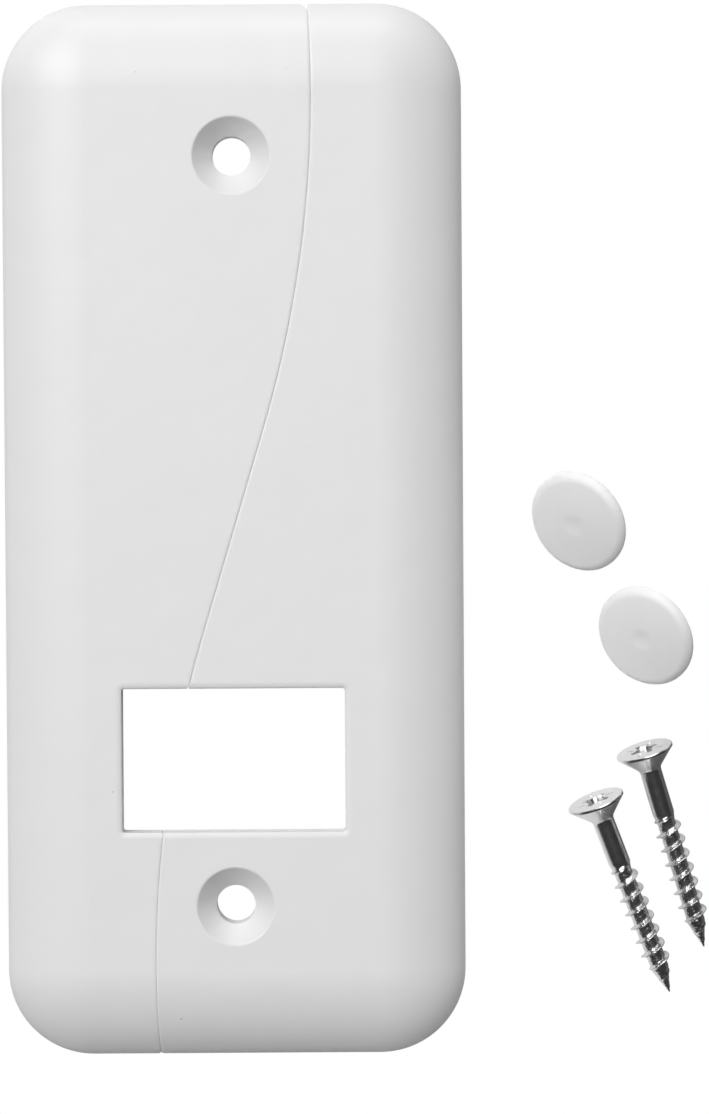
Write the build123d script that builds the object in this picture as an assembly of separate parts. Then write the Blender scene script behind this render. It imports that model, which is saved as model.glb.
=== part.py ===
from build123d import *
import os
from math import ceil, cos, radians, sin, sqrt

# Split cover plate of a flush belt winder, laid out with its two caps and two screws.
# Units: mm.  Origin: midway between the two screw holes, on the back plane of the plate.
# +X right, +Y towards the top end of the plate, +Z out of its front.

os.makedirs("parts", exist_ok=True)

# Plate
HOLE_PITCH = 135.0
PLATE_WIDTH = 83.0
PLATE_LENGTH = 190.0
PLATE_DEPTH = 9.0
EDGE_ROUND = 15.5       # how far the rounded border reaches in from the rim
RIM_HEIGHT = 1.5        # straight rim under the rounded border
WALL = 2.2
CORE_WIDTH = PLATE_WIDTH - 2 * EDGE_ROUND
CORE_LENGTH = PLATE_LENGTH - 2 * EDGE_ROUND
CEILING = PLATE_DEPTH - WALL

# Belt window
WINDOW_WIDTH = 40.2
WINDOW_HEIGHT = 25.9
WINDOW_X = -0.2
WINDOW_Y = -41.2
WINDOW_CORNER = 0.5
WINDOW_LIP_ROUND = 0.9
COLLAR_WALL = 1.8

# Screw seats
HOLE_RADIUS = 3.5
SINK_RADIUS = 6.95
BOSS_RADIUS = 8.0
COLLAR_FOOT = 3.0       # the collar ends this far above the back plane, on the winder's flange
RIB_WALL = 1.4
RIB_FOOT = 4.0

# Seam: a leaning line through the origin, then one arc to each end of the plate
SEAM_LEAN = 16.7        # degrees from +Y
SEAM_HALF_LINE = 19.3
SEAM_ARC_RADIUS = 210.0
SEAM_ARC_TURN = 22.0    # degrees, far enough to pass the end of the plate
SEAM_GAP = 0.15
SEAM_EDGE_ROUND = 0.35
SEAM_ROUND_END = 0.98   # share of the rounded border along which the seam's edges are rounded
TOP_NOTCH = 1.2
FOOT_NOTCH = 0.5
WINDOW_NOTCH = 0.35
LIP_REACH = 3.0         # under the left half
LIP_ROOT = 2.5          # on the underside of the right half
LIP_THICKNESS = 1.3
LIP_CLEARANCE = 0.1
LIP_END_Y = 76.0
LIP_WINDOW_MARGIN = 6.5

# Cover cap
CAP_RADIUS = 9.5
CAP_THICKNESS = 2.3
CAP_RIM_HEIGHT = 0.5
CAP_SHOULDER_RADIUS = 8.0
CAP_SHOULDER_HEIGHT = 1.6
CAP_SKIN = 1.2
CAP_RIM_WALL = 1.3
CAP_HOLLOW_SHARE = 0.6  # how much of its full height the hollow has above the shoulder
DIMPLE_RADIUS = 2.3
DIMPLE_DEPTH = 0.2
PIN_HUB_RADIUS = 2.6
PIN_LENGTH = 5.0        # below the rim
PIN_SPAN = 4.0
PIN_BLADE = 1.1
PIN_TAPER = 4.0         # degrees

# 5 x 40 countersunk screw
SCREW_LENGTH = 39.0     # a little under the nominal 40
HEAD_RADIUS = 5.2
HEAD_RIM = 0.5
SHANK_RADIUS = 1.95
THREAD_RADIUS = 2.5
THREAD_CORE_RADIUS = 1.6
THREAD_START = 12.4     # below the top of the head
THREAD_PITCH = 2.8
THREAD_CLOCK = 68.0     # from the first arm of the recess round to the start of the thread
RIDGE_WIDTH = 0.9       # at the core
CREST_WIDTH = 0.15
GROOVE_OVERRUN = 0.1
TIP_LENGTH = 7.0
TIP_RADIUS = 0.15
RECESS_DEPTH = 2.9
RECESS_SPAN = 5.2
RECESS_SLOT = 1.2
RECESS_TAPER = 4.5      # degrees
RECESS_TIP_RADIUS = 0.7
TICK_LENGTH = 1.5
TICK_WIDTH = 0.35
TICK_DEPTH = 0.15

# Where the loose pieces lie beside the plate: x and y, lean and spin in degrees
CAP_LEAN = 38.0
CAP_LEAN_HEADING = 214.0        # the face looks this way, anticlockwise from +X
UPPER_CAP_XY = (62.4, 1.5)
LOWER_CAP_XY = (74.4, -19.2)
SCREW_LEAN = 11.5
UPPER_SCREW_TIP_XY = (84.85, -76.2)
UPPER_SCREW_HEADING = 107.0
LOWER_SCREW_TIP_XY = (78.55, -84.4)
LOWER_SCREW_HEADING = 111.0
UPPER_SCREW_SPIN = 20.0
LOWER_SCREW_SPIN = 55.0

MARGIN = 2.0            # how far cutting tools run past what they cut
NEAR = 0.05             # how close an edge must be to where it is looked for


def rim_profile(reach, height):
    """Section of the rounded border: a straight rim with a quarter ellipse on top."""
    foot = Line((0, 0), (reach, 0))
    rim = Line((reach, 0), (reach, RIM_HEIGHT))
    crown = EllipticalCenterArc(
        (0, RIM_HEIGHT), reach, height - RIM_HEIGHT, start_angle=0, arc_size=90
    )
    spine = Line((0, height), (0, 0))
    return Plane.XZ * make_face([foot, rim, crown, spine])


def pillow(reach, height):
    """Flat-topped block with the rounded border along all four sides and corners."""
    profile = rim_profile(reach, height)
    solid = Box(CORE_WIDTH, CORE_LENGTH, height, align=(Align.CENTER, Align.CENTER, Align.MIN))
    long_side = extrude(profile, CORE_LENGTH / 2, both=True)
    short_side = extrude(profile, CORE_WIDTH / 2, both=True)
    corner = revolve(profile, Axis.Z, 90)
    for turn in (0, 180):
        solid += Rot(0, 0, turn) * Pos(CORE_WIDTH / 2, 0, 0) * long_side
        solid += Rot(0, 0, turn) * Pos(0, CORE_LENGTH / 2, 0) * Rot(0, 0, 90) * short_side
        solid += Rot(0, 0, turn) * Pos(CORE_WIDTH / 2, CORE_LENGTH / 2, 0) * corner
        solid += Rot(0, 0, turn) * Pos(-CORE_WIDTH / 2, CORE_LENGTH / 2, 0) * Rot(0, 0, 90) * corner
    return solid


def back_features():
    """Screw bosses, their ribs and the collar round the belt window."""
    floor = (Align.CENTER, Align.CENTER, Align.MIN)
    top = CEILING + WALL / 2
    collar_width = WINDOW_WIDTH + 2 * COLLAR_WALL
    collar_height = WINDOW_HEIGHT + 2 * COLLAR_WALL
    features = Pos(WINDOW_X, WINDOW_Y, COLLAR_FOOT) * Box(
        collar_width, collar_height, top - COLLAR_FOOT, align=floor
    )
    rib_height = top - RIB_FOOT
    end_rib = Pos(0, PLATE_LENGTH / 4 + HOLE_PITCH / 4, RIB_FOOT) * Box(
        RIB_WALL, PLATE_LENGTH / 2 - HOLE_PITCH / 2, rib_height, align=floor
    )
    side_rib = Pos(-PLATE_WIDTH / 4, HOLE_PITCH / 2, RIB_FOOT) * Box(
        PLATE_WIDTH / 2, RIB_WALL, rib_height, align=floor
    )
    boss = Pos(0, HOLE_PITCH / 2, 0) * Cylinder(BOSS_RADIUS, top, align=floor)
    for turn in (0, 180):
        features += Rot(0, 0, turn) * (boss + end_rib + side_rib)
    return features


def screw_seat():
    """Clearance hole with a 90 degree countersink, as a cutting tool at the origin."""
    drill = Cylinder(
        HOLE_RADIUS, PLATE_DEPTH + 2 * MARGIN, align=(Align.CENTER, Align.CENTER, Align.MIN)
    )
    sink_depth = SINK_RADIUS - HOLE_RADIUS
    sink = Cone(HOLE_RADIUS, SINK_RADIUS, sink_depth, align=(Align.CENTER, Align.CENTER, Align.MAX))
    return Pos(0, 0, -MARGIN) * drill + Pos(0, 0, PLATE_DEPTH) * sink


def on_window_lip(edge):
    """Whether an edge of the whole plate runs round the front of the window."""
    middle = edge @ 0.5
    in_width = abs(middle.X - WINDOW_X) < WINDOW_WIDTH / 2 + NEAR
    in_height = abs(middle.Y - WINDOW_Y) < WINDOW_HEIGHT / 2 + NEAR
    return in_width and in_height and abs(middle.Z - PLATE_DEPTH) < NEAR


def whole_plate():
    """The cover plate before it is split."""
    shell = pillow(EDGE_ROUND, PLATE_DEPTH)
    features = back_features() & shell
    shell -= pillow(EDGE_ROUND - WALL, CEILING)
    shell += features
    for end in (-1, 1):
        shell -= Pos(0, end * HOLE_PITCH / 2, 0) * screw_seat()
    opening = RectangleRounded(WINDOW_WIDTH, WINDOW_HEIGHT, WINDOW_CORNER)
    shell -= Pos(WINDOW_X, WINDOW_Y, -MARGIN) * extrude(opening, PLATE_DEPTH + 2 * MARGIN)
    return fillet(shell.edges().filter_by(on_window_lip), WINDOW_LIP_ROUND)


def seam_x(y):
    """Where the seam crosses a height on the plate."""
    lean = radians(SEAM_LEAN)
    line_top = SEAM_HALF_LINE * cos(lean)
    if abs(y) <= line_top:
        return y * sin(lean) / cos(lean)
    centre_x = SEAM_HALF_LINE * sin(lean) - SEAM_ARC_RADIUS * cos(lean)
    centre_y = line_top + SEAM_ARC_RADIUS * sin(lean)
    side = 1 if y > 0 else -1
    return side * (centre_x + sqrt(SEAM_ARC_RADIUS**2 - (abs(y) - centre_y) ** 2))


def seam_band(left, right, low_y, high_y, low_z, high_z):
    """Solid that follows the seam, between two x offsets from it and two heights."""
    lean = radians(SEAM_LEAN)
    bend = Vector(SEAM_HALF_LINE * sin(lean), SEAM_HALF_LINE * cos(lean))
    heading = Vector(sin(lean), cos(lean))
    sides = []
    for shift in (left, right):
        offset = Vector(shift, 0)
        sides.append((
            JernArc(offset + bend, heading, SEAM_ARC_RADIUS, SEAM_ARC_TURN),
            Line(offset - bend, offset + bend),
            JernArc(offset - bend, -heading, SEAM_ARC_RADIUS, SEAM_ARC_TURN),
        ))
    (left_top, left_line, left_foot), (right_top, right_line, right_foot) = sides
    top = Line(left_top @ 1, right_top @ 1)
    foot = Line(left_foot @ 1, right_foot @ 1)
    outline = [left_foot, left_line, left_top, top, right_top, right_line, right_foot, foot]
    band = Pos(0, 0, low_z) * extrude(make_face(outline), high_z - low_z)
    slice_box = Box(
        2 * PLATE_WIDTH + abs(left) + abs(right), high_y - low_y, high_z - low_z,
        align=(Align.CENTER, Align.MIN, Align.MIN),
    )
    return band & Pos(0, low_y, low_z) * slice_box


def on_seam_front(edge, side_x):
    """Whether an edge is where the cut face at this offset from the seam meets the front."""
    middle = edge @ 0.5
    into_border = max(0.0, abs(middle.Y) - CORE_LENGTH / 2) / EDGE_ROUND
    if into_border > SEAM_ROUND_END:
        return False
    front = RIM_HEIGHT + (PLATE_DEPTH - RIM_HEIGHT) * sqrt(1 - into_border**2)
    at_front = abs(middle.Z - front) < NEAR
    return at_front and abs(middle.X - seam_x(middle.Y) - side_x) < NEAR


def seam_notch(y, depth):
    """Small V where the seam leaves the plate or meets the window, as a cutting tool."""
    side = depth * sqrt(2)
    return Pos(seam_x(y), y, 0) * Rot(0, 0, 45) * Box(side, side, 2 * PLATE_DEPTH + MARGIN)


def lip():
    """Tongue on the right half that the left half slides over."""
    top = CEILING - LIP_CLEARANCE
    low = top - LIP_THICKNESS
    window_top = WINDOW_Y + WINDOW_HEIGHT / 2 + LIP_WINDOW_MARGIN
    window_foot = WINDOW_Y - WINDOW_HEIGHT / 2 - LIP_WINDOW_MARGIN
    tongue = None
    for low_y, high_y in ((-LIP_END_Y, window_foot), (window_top, LIP_END_Y)):
        run = seam_band(-LIP_REACH, LIP_ROOT, low_y, high_y, low, top)
        root = seam_band(SEAM_GAP, LIP_ROOT, low_y, high_y, low, CEILING + LIP_CLEARANCE)
        tongue = run + root if tongue is None else tongue + run + root
    return tongue


def cover_halves():
    """The plate split along the seam: left half, right half."""
    plate = whole_plate()
    reach_y = PLATE_LENGTH / 2 + MARGIN
    top = PLATE_DEPTH + MARGIN
    left_side = seam_band(-PLATE_WIDTH, 0, -reach_y, reach_y, -MARGIN, top)
    right_side = seam_band(SEAM_GAP, PLATE_WIDTH, -reach_y, reach_y, -MARGIN, top)
    left = plate & left_side
    right = plate & right_side
    left = fillet(left.edges().filter_by(lambda edge: on_seam_front(edge, 0)), SEAM_EDGE_ROUND)
    right = fillet(
        right.edges().filter_by(lambda edge: on_seam_front(edge, SEAM_GAP)), SEAM_EDGE_ROUND
    )
    for y, depth in (
        (PLATE_LENGTH / 2, TOP_NOTCH),
        (WINDOW_Y + WINDOW_HEIGHT / 2, WINDOW_NOTCH),
        (WINDOW_Y - WINDOW_HEIGHT / 2, WINDOW_NOTCH),
        (-PLATE_LENGTH / 2, FOOT_NOTCH),
    ):
        left -= seam_notch(y, depth)
    return left, right + lip()


def cover_cap():
    """Round cap, rim on z = 0, face up, with the blades of its pin below."""
    face_centre = (0, CAP_THICKNESS)
    shoulder = (CAP_SHOULDER_RADIUS, CAP_SHOULDER_HEIGHT)
    rim_top = (CAP_RADIUS, CAP_RIM_HEIGHT)
    dome = TangentArc(face_centre, shoulder, tangent=(1, 0))
    roll = TangentArc(shoulder, rim_top, tangent=dome % 1)
    hollow_radius = CAP_RADIUS - CAP_RIM_WALL
    hollow_top = CAP_THICKNESS - CAP_SKIN
    hollow_shoulder = (CAP_SHOULDER_RADIUS, hollow_top * CAP_HOLLOW_SHARE)
    outline = [
        dome,
        roll,
        Line(rim_top, (CAP_RADIUS, 0)),
        Line((CAP_RADIUS, 0), (hollow_radius, 0)),
        Line((hollow_radius, 0), hollow_shoulder),
        Line(hollow_shoulder, (PIN_HUB_RADIUS, hollow_top)),
        Line((PIN_HUB_RADIUS, hollow_top), (PIN_HUB_RADIUS, 0)),
        Line((PIN_HUB_RADIUS, 0), (0, 0)),
        Line((0, 0), face_centre),
    ]
    cap = revolve(Plane.XZ * make_face(outline), Axis.Z)
    dimple_radius = (DIMPLE_RADIUS**2 + DIMPLE_DEPTH**2) / (2 * DIMPLE_DEPTH)
    cap -= Pos(0, 0, CAP_THICKNESS + dimple_radius - DIMPLE_DEPTH) * Sphere(dimple_radius)
    for turn in (0, 90):
        blade = Rot(0, 0, turn) * Rectangle(PIN_SPAN, PIN_BLADE)
        cap += extrude(blade, PIN_LENGTH, dir=(0, 0, -1), taper=PIN_TAPER)
    return cap


def screw_blank():
    """Turned head, shank and pointed thread cylinder, top of the head on z = 0."""
    cone_end = HEAD_RIM + HEAD_RADIUS - SHANK_RADIUS
    thread_full = THREAD_START + THREAD_RADIUS - SHANK_RADIUS
    points = [
        (0, 0),
        (HEAD_RADIUS, 0),
        (HEAD_RADIUS, -HEAD_RIM),
        (SHANK_RADIUS, -cone_end),
        (SHANK_RADIUS, -THREAD_START),
        (THREAD_RADIUS, -thread_full),
        (THREAD_RADIUS, -SCREW_LENGTH + TIP_LENGTH),
        (TIP_RADIUS, -SCREW_LENGTH),
        (0, -SCREW_LENGTH),
        (0, 0),
    ]
    return revolve(Plane.XZ * make_face(Polyline(points)), Axis.Z)


def groove_turn():
    """One turn of the groove between the thread ridges, as a cutting tool starting on z = 0."""
    root_half = (THREAD_PITCH - RIDGE_WIDTH) / 2
    flank = ((THREAD_PITCH - CREST_WIDTH) / 2 - root_half) / (THREAD_RADIUS - THREAD_CORE_RADIUS)
    depth = THREAD_RADIUS + GROOVE_OVERRUN - THREAD_CORE_RADIUS
    mouth_half = root_half + flank * depth
    path = Helix(THREAD_PITCH, THREAD_PITCH, THREAD_CORE_RADIUS)
    section = Polygon(
        (0, -root_half), (depth, -mouth_half), (depth, mouth_half), (0, root_half), align=None
    )
    start = Plane(origin=path @ 0, x_dir=(1, 0, 0), z_dir=(0, -1, 0))
    return sweep(start * section, path=path, is_frenet=True)


def recess():
    """Cross recess and the four small marks between its arms, as a cutting tool."""
    tool = None
    for turn in (0, 90):
        arm = Rot(0, 0, turn) * Rectangle(RECESS_SPAN, RECESS_SLOT)
        cut = extrude(arm, RECESS_DEPTH, dir=(0, 0, -1), taper=RECESS_TAPER)
        tool = cut if tool is None else tool + cut
    tool += Cone(
        RECESS_TIP_RADIUS, RECESS_SPAN / 3, RECESS_DEPTH, align=(Align.CENTER, Align.CENTER, Align.MAX)
    )
    for turn in (45, 135, 225, 315):
        tick = Box(TICK_LENGTH, TICK_WIDTH, 2 * TICK_DEPTH)
        tool += Rot(0, 0, turn) * Pos(RECESS_SPAN / 2 + TICK_LENGTH / 2, 0, 0) * tick
    return tool


def screw():
    """Countersunk screw, top of the head on z = 0, tip below."""
    solid = screw_blank() - recess()
    groove = Rot(0, 0, THREAD_CLOCK) * groove_turn()
    turns = ceil((SCREW_LENGTH - THREAD_START) / THREAD_PITCH)
    for turn in range(1, turns + 1):
        solid -= Pos(0, 0, -THREAD_START - turn * THREAD_PITCH) * groove
    return solid


def rest_on_floor(piece):
    """Move a piece straight up or down until it touches z = 0."""
    return Pos(0, 0, -piece.bounding_box().min.Z) * piece


def lay_cap(cap, xy):
    """Put a cap beside the plate, its face leaning to one side."""
    leaned = Rot(0, 0, CAP_LEAN_HEADING) * Rot(0, CAP_LEAN, 0) * cap
    return rest_on_floor(Pos(*xy, 0) * leaned)


def lay_screw(loose, tip_xy, heading, spin):
    """Lay a screw with its tip at a place, its head raised and pointing along a heading."""
    upright = Pos(0, 0, SCREW_LENGTH) * Rot(0, 0, spin) * loose
    leaned = Rot(0, 0, heading) * Rot(0, 90 - SCREW_LEAN, 0) * upright
    return rest_on_floor(Pos(*tip_xy, 0) * leaned)


left_cover_half, right_cover_half = cover_halves()
cap_shape = cover_cap()
screw_shape = screw()

pieces = {
    "left_cover_half": left_cover_half,
    "right_cover_half": right_cover_half,
    "upper_cap": lay_cap(cap_shape, UPPER_CAP_XY),
    "lower_cap": lay_cap(cap_shape, LOWER_CAP_XY),
    "upper_screw": lay_screw(
        screw_shape, UPPER_SCREW_TIP_XY, UPPER_SCREW_HEADING, UPPER_SCREW_SPIN
    ),
    "lower_screw": lay_screw(
        screw_shape, LOWER_SCREW_TIP_XY, LOWER_SCREW_HEADING, LOWER_SCREW_SPIN
    ),
}
for name, piece in pieces.items():
    export_step(piece, f"parts/{name}.step")
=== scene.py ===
from math import atan2, ceil, cos, floor, hypot, pi, radians, sin, sqrt

import bmesh
import bpy
from mathutils import Matrix, Vector, noise as field


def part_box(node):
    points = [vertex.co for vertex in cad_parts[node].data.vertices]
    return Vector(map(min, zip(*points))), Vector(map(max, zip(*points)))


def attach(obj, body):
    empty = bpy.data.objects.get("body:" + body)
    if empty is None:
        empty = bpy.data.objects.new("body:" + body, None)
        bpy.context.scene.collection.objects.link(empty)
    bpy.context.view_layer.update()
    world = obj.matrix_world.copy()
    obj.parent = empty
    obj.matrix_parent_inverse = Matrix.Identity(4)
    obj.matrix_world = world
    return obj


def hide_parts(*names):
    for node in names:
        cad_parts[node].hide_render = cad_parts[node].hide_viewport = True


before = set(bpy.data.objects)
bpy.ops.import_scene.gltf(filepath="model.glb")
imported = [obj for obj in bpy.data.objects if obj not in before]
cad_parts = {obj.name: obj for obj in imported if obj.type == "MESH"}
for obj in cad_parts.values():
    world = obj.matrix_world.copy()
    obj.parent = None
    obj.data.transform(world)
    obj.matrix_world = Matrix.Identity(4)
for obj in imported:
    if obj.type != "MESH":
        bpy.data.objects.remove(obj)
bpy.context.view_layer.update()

# Lengths are in mm until mesh_object() scales them to metres.
MM = 0.001

# Plate, the same driving dimensions as the CAD
HOLE_PITCH = 135.0
PLATE_WIDTH = 83.0
PLATE_LENGTH = 190.0
PLATE_DEPTH = 9.0
EDGE_ROUND = 15.5
RIM_HEIGHT = 1.5
WALL = 2.2
CEILING = PLATE_DEPTH - WALL
CORE_X = PLATE_WIDTH / 2 - EDGE_ROUND
CORE_Y = PLATE_LENGTH / 2 - EDGE_ROUND
BORDER_STEPS = 28
CORNER_STEPS = 28
END_STEPS = 12          # columns along each straight end, between corner and seam

# Belt window
WINDOW_WIDTH = 40.2
WINDOW_HEIGHT = 25.9
WINDOW_X = -0.2
WINDOW_Y = -41.2
WINDOW_CORNER = 0.5
WINDOW_LIP_REACH = 1.2
WINDOW_LIP_DROP = 0.35
COLLAR_WALL = 1.8
WINDOW_LIP_STEPS = 8

# Screw seats
HOLE_RADIUS = 3.5
SINK_RADIUS = 6.9
SINK_EDGE_BREAK = 0.3
BOSS_RADIUS = 8.0
COLLAR_FOOT = 3.0       # the collar ends this far above the back plane
RIB_WALL = 1.4
RIB_FOOT = 4.0

# Seam
SEAM_LEAN = radians(16.7)
SEAM_HALF_LINE = 19.3
SEAM_ARC_RADIUS = 210.0
SEAM_GAP = 0.02
SEAM_ROUND_REACH = 0.6
SEAM_ROUND_DROP = 0.14
SEAM_ROUND_STEPS = 5
SEAM_SAMPLE_STEP = 1.5
TOP_NOTCH = 1.2
FOOT_NOTCH = 0.5
WINDOW_NOTCH = 0.35
LIP_REACH = 3.0
LIP_ROOT = 2.5
LIP_THICKNESS = 1.3
LIP_CLEARANCE = 0.1
LIP_END_Y = 76.0
LIP_WINDOW_MARGIN = 6.5

# Cover cap
CAP_RADIUS = 9.5
CAP_THICKNESS = 2.3
CAP_RIM_HEIGHT = 0.5
CAP_SHOULDER_RADIUS = 8.0
CAP_SHOULDER_HEIGHT = 1.6
CAP_SKIN = 1.2
CAP_RIM_WALL = 1.3
CAP_FOOT_ROUND = 0.15
CAP_HOLLOW_SHARE = 0.6  # how much of its full height the hollow has above the shoulder
DOME_STEPS = 40
ROLL_STEPS = 14
DIMPLE_RADIUS = 2.5
DIMPLE_DEPTH = 0.2
PIN_HUB_RADIUS = 2.6
PIN_LENGTH = 5.0
PIN_SPAN = 4.0
PIN_BLADE = 1.1
PIN_TAPER = radians(4.0)
PIN_TIP_LENGTH = 0.2    # the last of the pin narrows faster, by PIN_TIP_INSET all round
PIN_TIP_INSET = 0.15
BLADE_INSET_SHARE = 0.8     # how much a blade thins for what it narrows
GATE_ANGLE = radians(-106.0)     # where the gate mark sits on the rim
GATE_WIDTH = radians(9.0)
GATE_HEIGHT = 0.22
GATE_BAND = 0.6         # how far in from the rim the gate mark reaches

# 5 x 40 screw, a little under its nominal length
SCREW_LENGTH = 39.0
HEAD_RADIUS = 5.2
HEAD_RIM = 0.5
HEAD_EDGE_BREAK = 0.12
NECK_CURVE = ((0.45, -0.45), (0.16, -0.08), (0.0, 0.35))   # out from the shank, down from the cone
SHANK_RADIUS = 1.95
THREAD_RADIUS = 2.5
THREAD_CORE_RADIUS = 1.6
THREAD_START = 12.4
THREAD_PITCH = 2.8
THREAD_CLOCK = radians(68.0)
CORE_FULLNESS = 1.4     # how much sooner the core reaches its width than a plain cone
RIDGE_WIDTH = 0.9
CREST_WIDTH = 0.14
TIP_LENGTH = 7.0
TIP_RADIUS = 0.12
TIP_CORE_RADIUS = 0.8 * TIP_RADIUS
TIP_END = 0.02          # the thread stops this far short of the point
ROLLED_ROUGHNESS = 0.06     # of the thread's rolled surface, over grains of this size
ROLLED_GRAIN = 0.32
THREAD_ROWS_PER_TURN = 36
SCREW_SIDES = 96
RECESS_DEPTH = 2.9
RECESS_SPAN = 5.2
RECESS_SLOT = 1.2
RECESS_END_SPAN = 0.72 * RECESS_SPAN     # both at the recess's bottom
RECESS_END_SLOT = 0.8 * RECESS_SLOT
BOWL_RADIUS = RECESS_SPAN / 3
BOWL_END_RADIUS = 0.55 * RECESS_SLOT
BOWL_SIDES = 32
TICK_LENGTH = 1.5
TICK_INSET = 0.5        # how far the marks reach in past the cross's span
TICK_WIDTH = 0.35
TICK_DEPTH = 0.15

# How the loose pieces lie, angles anticlockwise from +X
CAP_LEAN = radians(38.0)
CAP_HEADING = radians(214.0)
UPPER_CAP_XY = (62.4, 1.5)
LOWER_CAP_XY = (74.4, -19.2)
SCREW_LEAN = radians(11.5)
UPPER_SCREW_TIP_XY = (84.85, -76.2)
UPPER_SCREW_HEADING = radians(107.0)
LOWER_SCREW_TIP_XY = (78.55, -84.4)
LOWER_SCREW_HEADING = radians(111.0)
UPPER_SCREW_SPIN = radians(20.0)
LOWER_SCREW_SPIN = radians(55.0)

MARGIN = 2.0            # how far cutting shapes run past what they cut
HEAD_MARGIN = 0.5       # the same, above a screw's head
WELD = 1e-5             # closer points than this are one
SHARP_ANGLE = radians(32.0)
ROUND_SIDES = 128

# Materials: (scale in waves per metre, detail) or (scale, detail, roughness) of each noise
COVER_SHADE = 0.78
COVER_GLOSS = (0.34, 0.46)
COVER_GRAIN = 0.000012      # metres
COVER_SOAK = (0.08, 0.001)  # share of light that soaks in, and how deep in metres
CAP_SHADE = 0.88
CAP_GLOSS = (0.42, 0.56)
CAP_GRAIN = 0.00002
CAP_SOAK = (1.0, 0.005)
PLASTIC_IOR = 1.5
MOTTLE_NOISE = (60.0, 3.0)
MOTTLE_RANGE = (0.985, 1.015)
GLOSS_NOISE = (220.0, 4.0)
FINE_NOISE = (2600.0, 2.0)
WAVE_NOISE = (110.0, 1.0)
WAVE_HEIGHT = 6             # times the fine grain
DUST_SHADE = 0.72
DUST_CELLS = 75.0
DUST_SIZE = 0.018           # of a cell
ZINC_HAZE_NOISE = (500.0, 4.0)
ZINC_TONE = (0.78, 0.95)
ZINC_GLOSS_NOISE = (900.0, 5.0, 0.7)
ZINC_GLOSS = (0.12, 0.34)
ZINC_GRAIN_NOISE = (3200.0, 5.0, 0.75)
ZINC_GRAIN = 0.00002        # metres

# Camera and light
# Places and sizes in metres, angles in radians, powers in watts
CAMERA_AT = (0.02428, 0.02272, 0.8483)
CAMERA_TARGET = (0.02176, -0.00499, 0.0)
CAMERA_ROLL = 0.0062
FOCAL_LENGTH = 4.1964   # frame heights
SENSOR_HEIGHT = 24.0
SOFTBOX_DISTANCE = 3.0
SOFTBOX_SIZE = 1.5
SHOULDER_BOX = (-0.35, 0.35, 0.85)
SHOULDER_POWER = 63.0
BACK_BOX = (0.0, 0.87, 0.5)
BACK_POWER = 27.0
OVERHEAD_BOX = (0.0, 0.1, 1.0)
OVERHEAD_POWER = 17.0
SKY_LIGHT = 0.04
FLOOR_WHITE = 0.82
FLOOR_PAINTED_SHADOW = 0.12      # painted shadow of the screws on the floor, right of them, seen only in what they mirror from there and nothing else
PAINTED_SHADOW_LEAN = 0.35       # the painted shadow's edge runs along the screws
PAINTED_SHADOW_EDGE = (0.048, 0.050)
PAINTED_SHADOW_END = (0.02, 0.03)    # it lies below these heights on the page, beside the screws only
PAINTED_SHADOW_REACH = (0.2, 0.4)    # how far to the right a ray must lean to see it so
FLOOR_SPAN = 8000.0     # mm, as is the drop
FLOOR_DROP = 0.05       # keeps the floor clear of the faces that rest on it


# ---------------------------------------------------------------- mesh helpers

def mesh_object(name, bm):
    """A mesh object from a bmesh in mm, scaled to metres."""
    bmesh.ops.remove_doubles(bm, verts=bm.verts, dist=WELD)
    bmesh.ops.scale(bm, vec=(MM, MM, MM), verts=bm.verts)
    bmesh.ops.recalc_face_normals(bm, faces=bm.faces)
    mesh = bpy.data.meshes.new(name)
    bm.to_mesh(mesh)
    bm.free()
    obj = bpy.data.objects.new(name, mesh)
    bpy.context.scene.collection.objects.link(obj)
    return obj


def combine(obj, cutter, operation):
    """Apply one exact boolean to obj and delete the other shape."""
    modifier = obj.modifiers.new("combine", "BOOLEAN")
    modifier.object = cutter
    modifier.operation = operation
    modifier.solver = "EXACT"
    depsgraph = bpy.context.evaluated_depsgraph_get()
    result = bpy.data.meshes.new_from_object(obj.evaluated_get(depsgraph))
    obj.modifiers.clear()
    old = obj.data
    obj.data = result
    bpy.data.meshes.remove(old)
    spare = cutter.data
    bpy.data.objects.remove(cutter)
    bpy.data.meshes.remove(spare)


def finish_shading(obj):
    """Smooth shading with sharp edges kept, and flat faces left truly flat."""
    bm = bmesh.new()
    bm.from_mesh(obj.data)
    for face in bm.faces:
        face.smooth = True
    for edge in bm.edges:
        edge.smooth = len(edge.link_faces) == 2 and edge.calc_face_angle(pi) < SHARP_ANGLE
    bm.to_mesh(obj.data)
    bm.free()
    weighted = obj.modifiers.new("weighted_normals", "WEIGHTED_NORMAL")
    weighted.mode = "FACE_AREA"
    weighted.weight = 100
    weighted.keep_sharp = True


def prism(name, outline, low, high):
    """Closed prism over an outline of (x, y) points."""
    bm = bmesh.new()
    foot = [bm.verts.new((x, y, low)) for x, y in outline]
    top = [bm.verts.new((x, y, high)) for x, y in outline]
    bm.faces.new(foot)
    bm.faces.new(top)
    for i in range(len(outline)):
        j = (i + 1) % len(outline)
        bm.faces.new((foot[i], foot[j], top[j], top[i]))
    return mesh_object(name, bm)


def stack(name, rings):
    """Closed shape over a stack of matching outlines of (x, y, z) points."""
    bm = bmesh.new()
    loops = [[bm.verts.new(point) for point in ring] for ring in rings]
    for low, high in zip(loops, loops[1:]):
        for i in range(len(low)):
            j = (i + 1) % len(low)
            bm.faces.new((low[i], low[j], high[j], high[i]))
    bm.faces.new(loops[0])
    bm.faces.new(loops[-1])
    return mesh_object(name, bm)


def turned_box(low_x, high_x, half_y, z, turn):
    """Corners of a rectangle at a height, turned about the origin."""
    corners = ((high_x, half_y), (low_x, half_y), (low_x, -half_y), (high_x, -half_y))
    return [Matrix.Rotation(turn, 3, "Z") @ Vector((x, y, z)) for x, y in corners]


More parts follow.
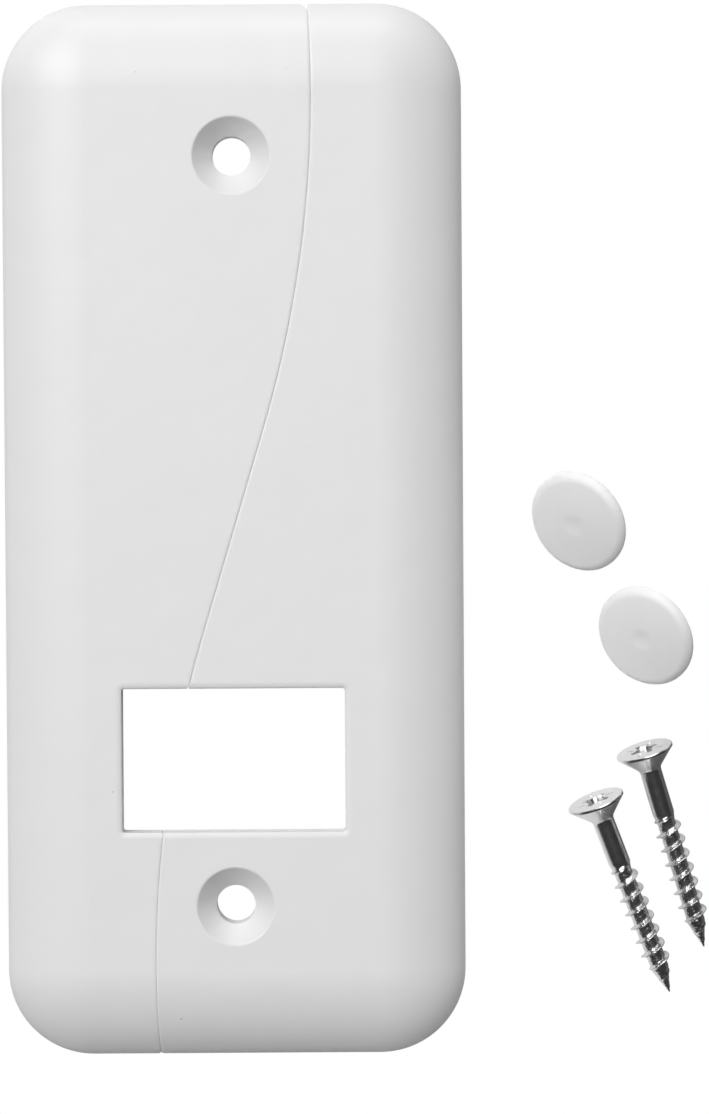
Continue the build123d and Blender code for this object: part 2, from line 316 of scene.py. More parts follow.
def circle(radius, z, x=0.0, y=0.0, sides=ROUND_SIDES):
    """Points round a circle at a height."""
    turns = [2 * pi * i / sides for i in range(sides)]
    return [(x + radius * cos(a), y + radius * sin(a), z) for a in turns]


def rounded_rectangle(width, height, corner, z, x=0.0, y=0.0, steps=8):
    """Points round a rectangle with round corners at a height."""
    points = []
    for quarter in range(4):
        side_x = 1 if quarter in (0, 3) else -1
        side_y = 1 if quarter in (0, 1) else -1
        centre_x = x + side_x * (width / 2 - corner)
        centre_y = y + side_y * (height / 2 - corner)
        for i in range(steps + 1):
            angle = (quarter + i / steps) * pi / 2
            points.append((centre_x + corner * cos(angle), centre_y + corner * sin(angle), z))
    return points


def arc_from(start, heading, end, steps):
    """Points of the arc that leaves start along heading and reaches end, and its last heading."""
    chord = (end[0] - start[0], end[1] - start[1])
    length = hypot(*chord)
    half_turn = atan2(chord[1], chord[0]) - heading
    radius = length / (2 * sin(half_turn))
    centre = (start[0] - radius * sin(heading), start[1] + radius * cos(heading))
    points = []
    for i in range(1, steps + 1):
        angle = heading + 2 * half_turn * i / steps
        points.append((centre[0] + radius * sin(angle), centre[1] - radius * cos(angle)))
    return points, heading + 2 * half_turn


# ---------------------------------------------------------------- cover halves

def seam_x(y):
    """Where the seam crosses a height on the plate."""
    line_top = SEAM_HALF_LINE * cos(SEAM_LEAN)
    if abs(y) <= line_top:
        return y * sin(SEAM_LEAN) / cos(SEAM_LEAN)
    centre_x = SEAM_HALF_LINE * sin(SEAM_LEAN) - SEAM_ARC_RADIUS * cos(SEAM_LEAN)
    centre_y = line_top + SEAM_ARC_RADIUS * sin(SEAM_LEAN)
    side = 1 if y > 0 else -1
    return side * (centre_x + sqrt(SEAM_ARC_RADIUS**2 - (abs(y) - centre_y) ** 2))


def border_section(reach, height):
    """The rounded border's section: (distance out, height, normal out, normal up) rows."""
    rise = height - RIM_HEIGHT
    rows = []
    for i in range(BORDER_STEPS + 1):
        angle = pi / 2 * i / BORDER_STEPS
        normal = Vector((sin(angle) / reach, cos(angle) / rise)).normalized()
        rows.append((reach * sin(angle), RIM_HEIGHT + rise * cos(angle), normal.x, normal.y))
    rows.append((reach, 0.0, 1.0, 0.0))
    return rows


def seam_samples(section):
    """Surface points along the seam from the top foot to the bottom foot: (y, z, normal)."""
    flat_count = ceil(2 * CORE_Y / SEAM_SAMPLE_STEP)
    samples = [(CORE_Y + out, z, (0.0, n_out, n_up)) for out, z, n_out, n_up in reversed(section)]
    for i in range(1, flat_count):
        y = CORE_Y - 2 * CORE_Y * i / flat_count
        samples.append((y, section[0][1], (0.0, 0.0, 1.0)))
    samples += [(-CORE_Y - out, z, (0.0, -n_out, n_up)) for out, z, n_out, n_up in section]
    return samples


def half_skin(bm, reach, height, rounded, gap):
    """One skin of the left half. Returns its foot loop and its seam edge, top to bottom."""
    section = border_section(reach, height)
    samples = seam_samples(section)
    set_back = SEAM_ROUND_REACH if rounded else 0.0
    steps = SEAM_ROUND_STEPS if rounded else 0
    chains = []
    for step in range(steps + 1):
        angle = pi / 2 * step / max(1, steps)
        back = set_back * (1 - sin(angle))
        down = SEAM_ROUND_DROP * (1 - cos(angle))
        chain = []
        for y, z, normal in samples:
            x = seam_x(y) - gap - back
            chain.append(bm.verts.new((x, y - down * normal[1], z - down * normal[2])))
        chains.append(chain)
    size = len(section)
    columns = [list(reversed(chains[0][:size]))]
    for side in (1, -1):
        end_columns = []
        for i in range(1, END_STEPS):
            share = i / END_STEPS
            column = []
            for out, z, _, _ in section:
                y = side * (CORE_Y + out)
                x = (seam_x(y) - gap - set_back) * (1 - share) - CORE_X * share
                column.append(bm.verts.new((x, y, z)))
            end_columns.append(column)
        corner = bm.verts.new((-CORE_X, side * CORE_Y, height))
        corner_columns = []
        for i in range(CORNER_STEPS + 1):
            angle = pi / 2 * i / CORNER_STEPS
            column = [corner]
            for out, z, _, _ in section[1:]:
                point = (-CORE_X - out * sin(angle), side * (CORE_Y + out * cos(angle)), z)
                column.append(bm.verts.new(point))
            corner_columns.append(column)
        run = end_columns + corner_columns
        columns += run if side == 1 else list(reversed(run))
    columns.append(chains[0][-size:])
    for left, right in zip(columns, columns[1:]):
        for i in range(size - 1):
            ring = (left[i], left[i + 1], right[i + 1], right[i])
            bm.faces.new(list(dict.fromkeys(ring)))
    flat = list(dict.fromkeys(column[0] for column in columns))
    flat += list(reversed(chains[0][size:-size]))
    bm.faces.new(flat)
    for near, far in zip(chains, chains[1:]):
        for i in range(len(near) - 1):
            bm.faces.new((near[i], near[i + 1], far[i + 1], far[i]))
    foot = [chain[0] for chain in reversed(chains[1:])]
    foot += [column[-1] for column in columns]
    foot += [chain[-1] for chain in chains[1:]]
    return foot, chains[-1]


def half_shell(name, gap, turn):
    """Outer skin, inner skin and the walls between them for one half."""
    bm = bmesh.new()
    outer_foot, outer_seam = half_skin(bm, EDGE_ROUND, PLATE_DEPTH, True, gap)
    inner_foot, inner_seam = half_skin(bm, EDGE_ROUND - WALL, CEILING, False, gap)
    bm.faces.new(outer_foot + list(reversed(inner_foot)))
    for i in range(len(outer_seam) - 1):
        bm.faces.new((outer_seam[i], outer_seam[i + 1], inner_seam[i + 1], inner_seam[i]))
    bmesh.ops.rotate(bm, cent=(0, 0, 0), matrix=Matrix.Rotation(turn, 3, "Z"), verts=bm.verts)
    return mesh_object(name, bm)


def seam_run(low_y, high_y, shift):
    """Points of the seam, moved sideways, from one height on the plate to another."""
    count = max(2, ceil(abs(high_y - low_y) / SEAM_SAMPLE_STEP))
    heights = [low_y + (high_y - low_y) * i / count for i in range(count + 1)]
    return [(seam_x(y) + shift, y) for y in heights]


def collar(side):
    """The window's collar, up to the seam on one side."""
    reach_x = WINDOW_WIDTH / 2 + COLLAR_WALL
    low_y = WINDOW_Y - WINDOW_HEIGHT / 2 - COLLAR_WALL
    high_y = WINDOW_Y + WINDOW_HEIGHT / 2 + COLLAR_WALL
    edge = seam_run(low_y, high_y, 0.0 if side < 0 else SEAM_GAP)
    outer_x = WINDOW_X + side * reach_x
    outline = edge + [(outer_x, high_y), (outer_x, low_y)]
    return prism("collar", outline, COLLAR_FOOT, CEILING + WALL / 2)


def rib(core, turn):
    """Rib from a screw boss out to the rim, following the inside of the border."""
    reach = EDGE_ROUND - WALL / 2
    height = CEILING + WALL / 2
    section = border_section(reach, height)[:-1]
    bm = bmesh.new()
    sides = []
    for x in (-RIB_WALL / 2, RIB_WALL / 2):
        profile = [(0.0, RIB_FOOT), (0.0, height)]
        profile += [(core + out, z) for out, z, _, _ in section]
        profile += [(core + reach, RIB_FOOT)]
        sides.append([bm.verts.new((x, y, z)) for y, z in profile])
    near, far = sides
    bm.faces.new(near)
    bm.faces.new(far)
    for i in range(len(near)):
        j = (i + 1) % len(near)
        bm.faces.new((near[i], near[j], far[j], far[i]))
    bmesh.ops.rotate(bm, cent=(0, 0, 0), matrix=Matrix.Rotation(turn, 3, "Z"), verts=bm.verts)
    return bm


def screw_seat(y):
    """Cutting shape for a countersunk hole with a slightly broken edge."""
    sink_foot = PLATE_DEPTH - (SINK_RADIUS - HOLE_RADIUS)
    broken = PLATE_DEPTH - SINK_EDGE_BREAK / 2
    stations = [
        (HOLE_RADIUS, -MARGIN),
        (HOLE_RADIUS, sink_foot),
        (SINK_RADIUS - SINK_EDGE_BREAK / 2, broken),
        (SINK_RADIUS + SINK_EDGE_BREAK, PLATE_DEPTH),
        (SINK_RADIUS + SINK_EDGE_BREAK, PLATE_DEPTH + MARGIN),
    ]
    return stack("seat", [circle(radius, z, y=y) for radius, z in stations])


def window_cut():
    """Cutting shape for the window, flared by a shallow quarter round at the front."""
    stations = [(0.0, -MARGIN)]
    for i in range(WINDOW_LIP_STEPS + 1):
        angle = pi / 2 * i / WINDOW_LIP_STEPS
        out = WINDOW_LIP_REACH * (1 - cos(angle))
        stations.append((out, PLATE_DEPTH - WINDOW_LIP_DROP * (1 - sin(angle))))
    stations.append((WINDOW_LIP_REACH, PLATE_DEPTH + MARGIN))
    rings = []
    for out, z in stations:
        rings.append(rounded_rectangle(
            WINDOW_WIDTH + 2 * out, WINDOW_HEIGHT + 2 * out, WINDOW_CORNER + out, z,
            x=WINDOW_X, y=WINDOW_Y,
        ))
    return stack("window", rings)


def seam_notch(y, depth):
    """Cutting shape for the small V where the seam leaves the plate or meets the window."""
    x = seam_x(y)
    outline = [(x - depth, y), (x, y - depth), (x + depth, y), (x, y + depth)]
    return prism("notch", outline, -MARGIN, PLATE_DEPTH + MARGIN)


def tongue(low_y, high_y):
    """One run of the lip: under the left half, stepped up onto the right half's ceiling."""
    top = CEILING - LIP_CLEARANCE
    low = top - LIP_THICKNESS
    near = seam_run(low_y, high_y, -LIP_REACH)
    far = seam_run(high_y, low_y, LIP_ROOT)
    run = prism("tongue", near + far, low, top)
    root_near = seam_run(low_y, high_y, SEAM_GAP)
    root = prism("tongue_root", root_near + far, low + LIP_CLEARANCE, CEILING + LIP_CLEARANCE)
    combine(run, root, "UNION")
    return run


def cover_half(name, side):
    """One half of the plate: side -1 is the left, 1 the right."""
    turn = 0.0 if side < 0 else pi
    half = half_shell(name, 0.0 if side < 0 else SEAM_GAP, turn)
    seat_y = -side * HOLE_PITCH / 2
    boss = [circle(BOSS_RADIUS, z, y=seat_y) for z in (0.0, CEILING + WALL / 2)]
    combine(half, stack("boss", boss), "UNION")
    end_rib = rib(CORE_Y - HOLE_PITCH / 2, turn)
    bmesh.ops.translate(end_rib, vec=(0, seat_y, 0), verts=end_rib.verts)
    combine(half, mesh_object("end_rib", end_rib), "UNION")
    side_rib = rib(CORE_X, turn + pi / 2)
    bmesh.ops.translate(side_rib, vec=(0, seat_y, 0), verts=side_rib.verts)
    combine(half, mesh_object("side_rib", side_rib), "UNION")
    combine(half, collar(side), "UNION")
    if side > 0:
        window_top = WINDOW_Y + WINDOW_HEIGHT / 2 + LIP_WINDOW_MARGIN
        window_foot = WINDOW_Y - WINDOW_HEIGHT / 2 - LIP_WINDOW_MARGIN
        combine(half, tongue(-LIP_END_Y, window_foot), "UNION")
        combine(half, tongue(window_top, LIP_END_Y), "UNION")
    combine(half, screw_seat(seat_y), "DIFFERENCE")
    combine(half, window_cut(), "DIFFERENCE")
    if side < 0:
        for y, depth in (
            (PLATE_LENGTH / 2, TOP_NOTCH),
            (WINDOW_Y + WINDOW_HEIGHT / 2, WINDOW_NOTCH),
            (WINDOW_Y - WINDOW_HEIGHT / 2, WINDOW_NOTCH),
            (-PLATE_LENGTH / 2, FOOT_NOTCH),
        ):
            combine(half, seam_notch(y, depth), "DIFFERENCE")
    finish_shading(half)
    return half


# ---------------------------------------------------------------- cover caps

def cap_profile():
    """(radius, height) points from the middle of the face to the middle of the underside."""
    shoulder = (CAP_SHOULDER_RADIUS, CAP_SHOULDER_HEIGHT)
    dome, heading = arc_from((0.0, CAP_THICKNESS), 0.0, shoulder, DOME_STEPS)
    roll, _ = arc_from(shoulder, heading, (CAP_RADIUS, CAP_RIM_HEIGHT), ROLL_STEPS)
    hollow_top = CAP_THICKNESS - CAP_SKIN
    profile = []
    for radius, height in dome + roll:
        if radius < DIMPLE_RADIUS:
            height -= DIMPLE_DEPTH * (1 + cos(pi * radius / DIMPLE_RADIUS)) / 2
        profile.append((radius, height))
    profile += [
        (CAP_RADIUS, CAP_FOOT_ROUND),
        (CAP_RADIUS - CAP_FOOT_ROUND, 0.0),
        (CAP_RADIUS - CAP_RIM_WALL, 0.0),
        (CAP_SHOULDER_RADIUS, hollow_top * CAP_HOLLOW_SHARE),
        (PIN_HUB_RADIUS, hollow_top),
        (PIN_HUB_RADIUS, 0.0),
    ]
    return profile


def cap_body(name, gated):
    """The turned shape of a cap, with a gate mark on its rim if asked."""
    bm = bmesh.new()
    rings = []
    for radius, height in cap_profile():
        ring = []
        for i in range(ROUND_SIDES):
            angle = 2 * pi * i / ROUND_SIDES
            away = (angle - GATE_ANGLE + pi) % (2 * pi) - pi
            swell = 0.0
            if gated and radius > CAP_RADIUS - GATE_BAND:
                swell = GATE_HEIGHT * max(0.0, 1 - (away / GATE_WIDTH) ** 2)
            reach = radius + swell
            ring.append(bm.verts.new((reach * cos(angle), reach * sin(angle), height)))
        rings.append(ring)
    for near, far in zip(rings, rings[1:]):
        for i in range(ROUND_SIDES):
            j = (i + 1) % ROUND_SIDES
            bm.faces.new((near[i], near[j], far[j], far[i]))
    centre = bm.verts.new((0.0, 0.0, CAP_THICKNESS - DIMPLE_DEPTH))
    for i in range(ROUND_SIDES):
        bm.faces.new((centre, rings[0][i], rings[0][(i + 1) % ROUND_SIDES]))
    bm.faces.new(rings[-1])
    return mesh_object(name, bm)


def pin_blade(turn):
    """One tapered blade of the cap's cross-shaped pin."""
    draft = PIN_LENGTH * sin(PIN_TAPER)
    stations = (
        (0.0, CAP_SKIN / 2),
        (draft, PIN_TIP_LENGTH - PIN_LENGTH),
        (draft + PIN_TIP_INSET, -PIN_LENGTH),
    )
    rings = []
    for inset, z in stations:
        half_span = PIN_SPAN / 2 - inset
        half_blade = PIN_BLADE / 2 - inset * BLADE_INSET_SHARE
        rings.append(turned_box(-half_span, half_span, half_blade, z, turn))
    return stack("blade", rings)


def cover_cap(name, gated):
    """A cover cap, rim on z = 0, face up."""
    cap = cap_body(name, gated)
    for turn in (0.0, pi / 2):
        combine(cap, pin_blade(turn), "UNION")
    finish_shading(cap)
    return cap


# ---------------------------------------------------------------- screws

def thread_radius(angle, depth):
    """Radius of the threaded length at an angle and a depth below the head's top."""
    to_tip = SCREW_LENGTH - depth
    taper = min(1.0, to_tip / TIP_LENGTH)
    crest = TIP_RADIUS + (THREAD_RADIUS - TIP_RADIUS) * taper
    fullness = min(1.0, taper * CORE_FULLNESS)
    core = TIP_CORE_RADIUS + (THREAD_CORE_RADIUS - TIP_CORE_RADIUS) * fullness
    into = depth - THREAD_START
    start = min(1.0, max(0.0, into / THREAD_PITCH))
    neck = min(1.0, max(0.0, into / SHANK_RADIUS))
    core = SHANK_RADIUS + (core - SHANK_RADIUS) * neck
    phase = (-into / THREAD_PITCH - (angle - THREAD_CLOCK) / (2 * pi)) % 1.0
    away = abs(phase - 0.5) * THREAD_PITCH
    flank = (RIDGE_WIDTH - CREST_WIDTH) / 2
    ridge = min(1.0, max(0.0, (RIDGE_WIDTH / 2 - away) / flank))
    reach = core + (max(crest, core) - core) * ridge * start
    grain = Vector((reach * cos(angle), reach * sin(angle), depth)) / ROLLED_GRAIN
    return reach + ROLLED_ROUGHNESS * field.noise(grain) * start * (1 - ridge)


def screw_stations():
    """(radius or None, depth) rows from the head's rim to the tip; None means thread."""
    cone_end = HEAD_RIM + HEAD_RADIUS - SHANK_RADIUS
    rows = [
        (HEAD_RADIUS - HEAD_EDGE_BREAK, 0.0),
        (HEAD_RADIUS, HEAD_EDGE_BREAK),
        (HEAD_RADIUS, HEAD_RIM - HEAD_EDGE_BREAK / 2),
        (HEAD_RADIUS - HEAD_EDGE_BREAK, HEAD_RIM + HEAD_EDGE_BREAK / 2),
    ]
    rows += [(SHANK_RADIUS + out, cone_end + down) for out, down in NECK_CURVE]
    rows += [(SHANK_RADIUS, (cone_end + THREAD_START) / 2), (SHANK_RADIUS, THREAD_START)]
    step = THREAD_PITCH / THREAD_ROWS_PER_TURN
    count = floor((SCREW_LENGTH - THREAD_START) / step)
    rows += [(None, THREAD_START + step * i) for i in range(1, count)]
    rows.append((None, SCREW_LENGTH - TIP_END))
    return rows


def screw_body(name):
    """Head, shank and thread as one closed skin, top of the head on z = 0."""
    bm = bmesh.new()
    rings = []
    for radius, depth in screw_stations():
        ring = []
        for i in range(SCREW_SIDES):
            angle = 2 * pi * i / SCREW_SIDES
            reach = thread_radius(angle, depth) if radius is None else radius
            ring.append(bm.verts.new((reach * cos(angle), reach * sin(angle), -depth)))
        rings.append(ring)
    for near, far in zip(rings, rings[1:]):
        for i in range(SCREW_SIDES):
            j = (i + 1) % SCREW_SIDES
            bm.faces.new((near[i], near[j], far[j], far[i]))
    bm.faces.new(rings[0])
    point = bm.verts.new((0.0, 0.0, -SCREW_LENGTH))
    for i in range(SCREW_SIDES):
        bm.faces.new((point, rings[-1][i], rings[-1][(i + 1) % SCREW_SIDES]))
    return mesh_object(name, bm)


def recess_arm(turn):
    """One slot of the cross recess, narrowing downwards."""
    stations = (
        (RECESS_SPAN, RECESS_SLOT, HEAD_MARGIN),
        (RECESS_SPAN, RECESS_SLOT, 0.0),
        (RECESS_END_SPAN, RECESS_END_SLOT, -RECESS_DEPTH),
    )
    rings = [turned_box(-span / 2, span / 2, slot / 2, z, turn) for span, slot, z in stations]
    return stack("arm", rings)


def recess_tick(turn):
    """One of the shallow marks between the arms of the cross."""
    near = RECESS_SPAN / 2 - TICK_INSET
    far = near + TICK_LENGTH
    rings = [turned_box(near, far, TICK_WIDTH / 2, z, turn) for z in (HEAD_MARGIN, -TICK_DEPTH)]
    return stack("tick", rings)


def countersunk_screw(name):
    """The whole screw, top of the head on z = 0, tip below."""
    body = screw_body(name)
    for turn in (0.0, pi / 2):
        combine(body, recess_arm(turn), "DIFFERENCE")
    bowl_sizes = ((BOWL_END_RADIUS, -RECESS_DEPTH), (BOWL_RADIUS, HEAD_MARGIN))
    bowl = [circle(radius, z, sides=BOWL_SIDES) for radius, z in bowl_sizes]
    combine(body, stack("bowl", bowl), "DIFFERENCE")
    for quarter in range(4):
        combine(body, recess_tick(pi / 4 + quarter * pi / 2), "DIFFERENCE")
    finish_shading(body)
    return body


# ---------------------------------------------------------------- placing

def lay(obj, matrix, node):
    """Turn a piece into place, touching the same lowest height as its CAD node."""
    obj.data.transform(matrix)
    lowest = min(vertex.co.z for vertex in obj.data.vertices)
    obj.data.transform(Matrix.Translation((0.0, 0.0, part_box(node)[0][2] - lowest)))


def lay_cap(obj, xy, node):
    """Put a cap beside the plate, its face leaning to one side."""
    place = Matrix.Translation((xy[0] * MM, xy[1] * MM, 0.0))
    lean = Matrix.Rotation(CAP_HEADING, 4, "Z") @ Matrix.Rotation(CAP_LEAN, 4, "Y")
    lay(obj, place @ lean, node)


def lay_screw(obj, xy, heading, spin, node):
    """Put a screw with its tip at a place and its head raised."""
    place = Matrix.Translation((xy[0] * MM, xy[1] * MM, 0.0))
    lean = Matrix.Rotation(heading, 4, "Z") @ Matrix.Rotation(pi / 2 - SCREW_LEAN, 4, "Y")
    upright = Matrix.Translation((0.0, 0.0, SCREW_LENGTH * MM)) @ Matrix.Rotation(spin, 4, "Z")
    lay(obj, place @ lean @ upright, node)


# ---------------------------------------------------------------- materials

def new_material(name):
    """A node material with an empty principled shader: the material, its tree and the shader."""
    material = bpy.data.materials.new(name)
    material.use_nodes = True
    tree = material.node_tree
    tree.nodes.clear()
    shader = tree.nodes.new("ShaderNodeBsdfPrincipled")
    output = tree.nodes.new("ShaderNodeOutputMaterial")
    tree.links.new(shader.outputs["BSDF"], output.inputs["Surface"])
    return material, tree, shader


def noise(tree, scale, detail, roughness=0.5):
    """A noise texture in object space; scale is waves per metre."""
    place = tree.nodes.new("ShaderNodeTexCoord")
    texture = tree.nodes.new("ShaderNodeTexNoise")
    texture.inputs["Scale"].default_value = scale
    texture.inputs["Detail"].default_value = detail
    texture.inputs["Roughness"].default_value = roughness
    tree.links.new(place.outputs["Object"], texture.inputs["Vector"])
    return texture.outputs["Fac"]


def spread(tree, value, low, high):
    """A 0 to 1 value spread onto another range."""
    node = tree.nodes.new("ShaderNodeMapRange")
    node.inputs["To Min"].default_value = low
    node.inputs["To Max"].default_value = high
    tree.links.new(value, node.inputs["Value"])
    return node.outputs["Result"]


def specks(tree, cells, size):
    """1 inside sparse dots, 0 elsewhere; cells per metre and dot size in cell widths."""
    place = tree.nodes.new("ShaderNodeTexCoord")
    dots = tree.nodes.new("ShaderNodeTexVoronoi")
    dots.inputs["Scale"].default_value = cells
    tree.links.new(place.outputs["Object"], dots.inputs["Vector"])
    near = tree.nodes.new("ShaderNodeMath")
    near.operation = "LESS_THAN"
    near.inputs[1].default_value = size
    tree.links.new(dots.outputs["Distance"], near.inputs[0])
    return near.outputs["Value"]


def bump(tree, shader, height, distance, under=None):
    """Raise a height onto the shader's normal, over an earlier bump if there is one."""
    node = tree.nodes.new("ShaderNodeBump")
    node.inputs["Distance"].default_value = distance
    node.inputs["Strength"].default_value = 1.0
    tree.links.new(height, node.inputs["Height"])
    if under:
        tree.links.new(under.outputs["Normal"], node.inputs["Normal"])
    tree.links.new(node.outputs["Normal"], shader.inputs["Normal"])
    return node


def grey(tree, tone):
    """A colour with the same value in all three channels."""
    colour = tree.nodes.new("ShaderNodeCombineColor")
    for channel in ("Red", "Green", "Blue"):
        tree.links.new(tone, colour.inputs[channel])
    return colour.outputs["Color"]


def white_plastic(name, shade, gloss, grain, soak):
    """Moulded white plastic: fine grain, faint mottling, a few specks of dust."""
    material, tree, shader = new_material(name)
    share, depth = soak
    mottle = spread(tree, noise(tree, *MOTTLE_NOISE), shade * MOTTLE_RANGE[0], shade * MOTTLE_RANGE[1])
    dust_tone = shade * DUST_SHADE
    dust = tree.nodes.new("ShaderNodeMix")
    dust.data_type = "RGBA"
    dust.inputs["B"].default_value = (dust_tone, dust_tone, dust_tone, 1.0)
    tree.links.new(specks(tree, DUST_CELLS, DUST_SIZE), dust.inputs["Factor"])
    tree.links.new(grey(tree, mottle), dust.inputs["A"])
    tree.links.new(dust.outputs["Result"], shader.inputs["Base Color"])
    tree.links.new(spread(tree, noise(tree, *GLOSS_NOISE), *gloss), shader.inputs["Roughness"])
    shader.inputs["IOR"].default_value = PLASTIC_IOR
    shader.inputs["Subsurface Weight"].default_value = share
    shader.inputs["Subsurface Radius"].default_value = (depth, depth, depth)
    fine = bump(tree, shader, noise(tree, *FINE_NOISE), grain)
    bump(tree, shader, noise(tree, *WAVE_NOISE), grain * WAVE_HEIGHT, under=fine)
    return material


def zinc_plate(name):
    """Bright zinc on steel: hazy patches, uneven gloss and a fine grain."""
    material, tree, shader = new_material(name)
    shader.inputs["Metallic"].default_value = 1.0
    tone = spread(tree, noise(tree, *ZINC_HAZE_NOISE), *ZINC_TONE)
    tree.links.new(grey(tree, tone), shader.inputs["Base Color"])
    gloss = spread(tree, noise(tree, *ZINC_GLOSS_NOISE), *ZINC_GLOSS)
    tree.links.new(gloss, shader.inputs["Roughness"])
    bump(tree, shader, noise(tree, *ZINC_GRAIN_NOISE), ZINC_GRAIN)
    return material


# ---------------------------------------------------------------- scene

def node_band(tree, vector, direction, limits):
    """Rises from 0 to 1 as the vector reaches along direction from the first limit to the second."""
    reach = tree.nodes.new("ShaderNodeVectorMath")
    reach.operation = "DOT_PRODUCT"
    reach.inputs[1].default_value = direction
    tree.links.new(vector, reach.inputs[0])
    band = tree.nodes.new("ShaderNodeMapRange")
    band.inputs["From Min"].default_value = limits[0]
    band.inputs["From Max"].default_value = limits[1]
    tree.links.new(reach.outputs["Value"], band.inputs["Value"])
    return band.outputs["Result"]


def plain_floor():
    """Burnt out to the camera, white paper to the rest, with a painted shadow right of the screws that
    only their mirror reflections see.
    """
    bm = bmesh.new()
    reach = FLOOR_SPAN / 2
    corners = [(-reach, -reach, 0), (reach, -reach, 0), (reach, reach, 0), (-reach, reach, 0)]
    bm.faces.new([bm.verts.new(corner) for corner in corners])
    obj = mesh_object("floor", bm)
    obj.data.transform(Matrix.Translation((0.0, 0.0, -FLOOR_DROP * MM)))
    material = bpy.data.materials.new("floor_white_and_painted_shadow")
    material.use_nodes = True
    tree = material.node_tree
    tree.nodes.clear()
    path = tree.nodes.new("ShaderNodeLightPath")
    paper = tree.nodes.new("ShaderNodeBsdfDiffuse")
    place = tree.nodes.new("ShaderNodeNewGeometry")
    # painted shadow: the paper darkens only for glossy rays that look right from beside the screws
    painted_shadow_masks = (
        node_band(tree, place.outputs["Position"], (1.0, PAINTED_SHADOW_LEAN, 0.0), PAINTED_SHADOW_EDGE),
        node_band(tree, place.outputs["Position"], (0.0, -1.0, 0.0), PAINTED_SHADOW_END),
        node_band(tree, place.outputs["Incoming"], (-1.0, 0.0, 0.0), PAINTED_SHADOW_REACH),
        path.outputs["Is Glossy Ray"],
    )
    painted_shadow_amount = painted_shadow_masks[0]
    for mask in painted_shadow_masks[1:]:
        times = tree.nodes.new("ShaderNodeMath")
        times.operation = "MULTIPLY"
        tree.links.new(painted_shadow_amount, times.inputs[0])
        tree.links.new(mask, times.inputs[1])
        painted_shadow_amount = times.outputs["Value"]
    shade = tree.nodes.new("ShaderNodeMapRange")
    shade.inputs["To Min"].default_value = FLOOR_WHITE
    shade.inputs["To Max"].default_value = FLOOR_PAINTED_SHADOW
    tree.links.new(painted_shadow_amount, shade.inputs["Value"])
    tree.links.new(shade.outputs["Result"], paper.inputs["Color"])
    burnt = tree.nodes.new("ShaderNodeEmission")
    mix = tree.nodes.new("ShaderNodeMixShader")
    output = tree.nodes.new("ShaderNodeOutputMaterial")
    tree.links.new(path.outputs["Is Camera Ray"], mix.inputs["Fac"])
    tree.links.new(paper.outputs["BSDF"], mix.inputs[1])
    tree.links.new(burnt.outputs["Emission"], mix.inputs[2])
    tree.links.new(mix.outputs["Shader"], output.inputs["Surface"])
    obj.data.materials.append(material)


def soft_light(name, direction, power):
    lamp = bpy.data.lights.new(name, "AREA")
    lamp.shape = "SQUARE"
    lamp.size = SOFTBOX_SIZE
    lamp.energy = power
    obj = bpy.data.objects.new(name, lamp)
    towards = Vector(direction).normalized()
    obj.location = towards * SOFTBOX_DISTANCE
    obj.rotation_euler = towards.to_track_quat("Z", "Y").to_euler()
    bpy.context.scene.collection.objects.link(obj)


def plain_world():
    """White to the camera, dim to everything the light falls on."""
    world = bpy.data.worlds.new("studio")
    bpy.context.scene.world = world
    world.use_nodes = True
    tree = world.node_tree
    tree.nodes.clear()
    path = tree.nodes.new("ShaderNodeLightPath")
    seen = tree.nodes.new("ShaderNodeBackground")
    seen.inputs["Color"].default_value = (1.0, 1.0, 1.0, 1.0)
    lit = tree.nodes.new("ShaderNodeBackground")
    lit.inputs["Strength"].default_value = SKY_LIGHT
    mix = tree.nodes.new("ShaderNodeMixShader")
    output = tree.nodes.new("ShaderNodeOutputWorld")
    tree.links.new(path.outputs["Is Camera Ray"], mix.inputs["Fac"])
    tree.links.new(lit.outputs["Background"], mix.inputs[1])
    tree.links.new(seen.outputs["Background"], mix.inputs[2])
    tree.links.new(mix.outputs["Shader"], output.inputs["Surface"])


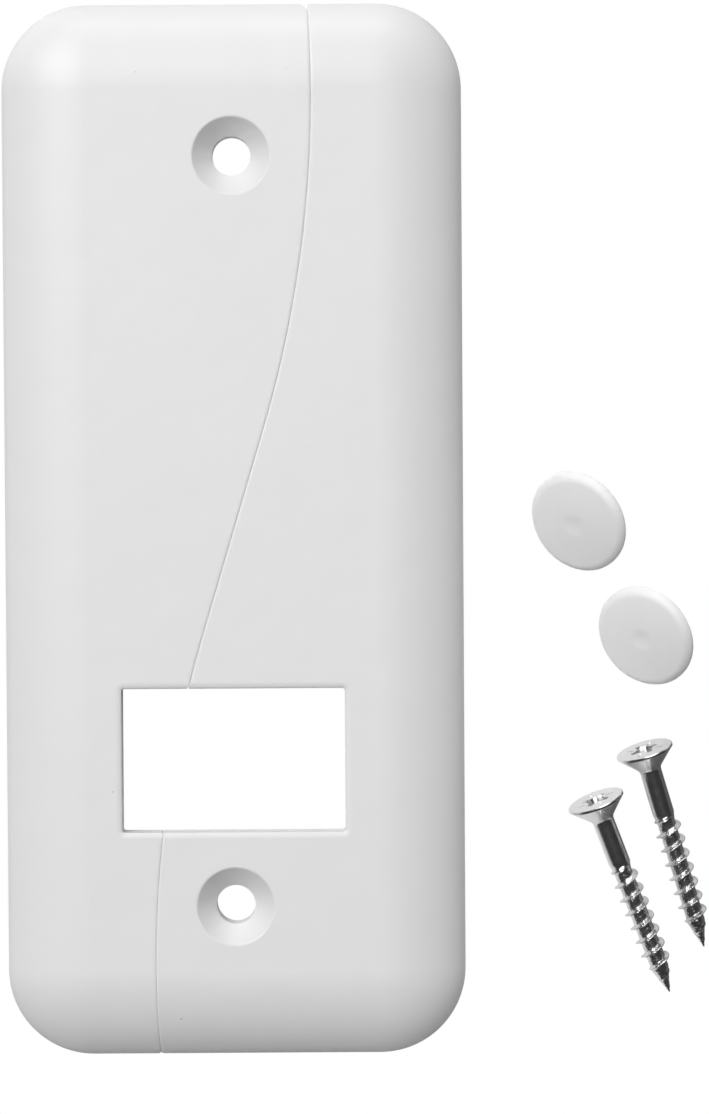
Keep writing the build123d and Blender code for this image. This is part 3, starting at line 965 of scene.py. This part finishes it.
def camera():
    """Almost straight down on the laid-out kit."""
    data = bpy.data.cameras.new("camera")
    data.sensor_fit = "VERTICAL"
    data.sensor_height = SENSOR_HEIGHT
    data.lens = FOCAL_LENGTH * SENSOR_HEIGHT
    obj = bpy.data.objects.new("camera", data)
    here, there = Vector(CAMERA_AT), Vector(CAMERA_TARGET)
    forward = (there - here).normalized()
    up = Vector((sin(CAMERA_ROLL), cos(CAMERA_ROLL), 0.0))
    right = forward.cross(up).normalized()
    up = right.cross(forward)
    turn = Matrix((right, up, -forward)).transposed()
    obj.matrix_world = Matrix.Translation(here) @ turn.to_4x4()
    bpy.context.scene.collection.objects.link(obj)
    bpy.context.scene.camera = obj


def add_piece(obj, node, body, material):
    """Give a finished piece its material, hang it under its body's empty and hide the CAD node that it
    stands for.
    """
    obj.data.materials.clear()
    obj.data.materials.append(material)
    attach(obj, body)
    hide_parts(node)


cover_white = white_plastic("cover_white", COVER_SHADE, COVER_GLOSS, COVER_GRAIN, COVER_SOAK)
cap_white = white_plastic("cap_white", CAP_SHADE, CAP_GLOSS, CAP_GRAIN, CAP_SOAK)
screw_zinc = zinc_plate("screw_zinc")

left_half = cover_half("left_half_shell", -1)
add_piece(left_half, "left_cover_half", "left_half", cover_white)
right_half = cover_half("right_half_shell", 1)
add_piece(right_half, "right_cover_half", "right_half", cover_white)

upper_cap = cover_cap("upper_round_cap", True)
lay_cap(upper_cap, UPPER_CAP_XY, "upper_cap")
add_piece(upper_cap, "upper_cap", "upper_cap_body", cap_white)
lower_cap = cover_cap("lower_round_cap", False)
lay_cap(lower_cap, LOWER_CAP_XY, "lower_cap")
add_piece(lower_cap, "lower_cap", "lower_cap_body", cap_white)

upper_screw = countersunk_screw("upper_wood_screw")
lay_screw(upper_screw, UPPER_SCREW_TIP_XY, UPPER_SCREW_HEADING, UPPER_SCREW_SPIN, "upper_screw")
add_piece(upper_screw, "upper_screw", "upper_screw_body", screw_zinc)
lower_screw = countersunk_screw("lower_wood_screw")
lay_screw(lower_screw, LOWER_SCREW_TIP_XY, LOWER_SCREW_HEADING, LOWER_SCREW_SPIN, "lower_screw")
add_piece(lower_screw, "lower_screw", "lower_screw_body", screw_zinc)

plain_floor()
soft_light("shoulder_box", SHOULDER_BOX, SHOULDER_POWER)
soft_light("back_box", BACK_BOX, BACK_POWER)
soft_light("overhead_box", OVERHEAD_BOX, OVERHEAD_POWER)
plain_world()
camera()
bpy.context.scene.view_settings.view_transform = "Standard"
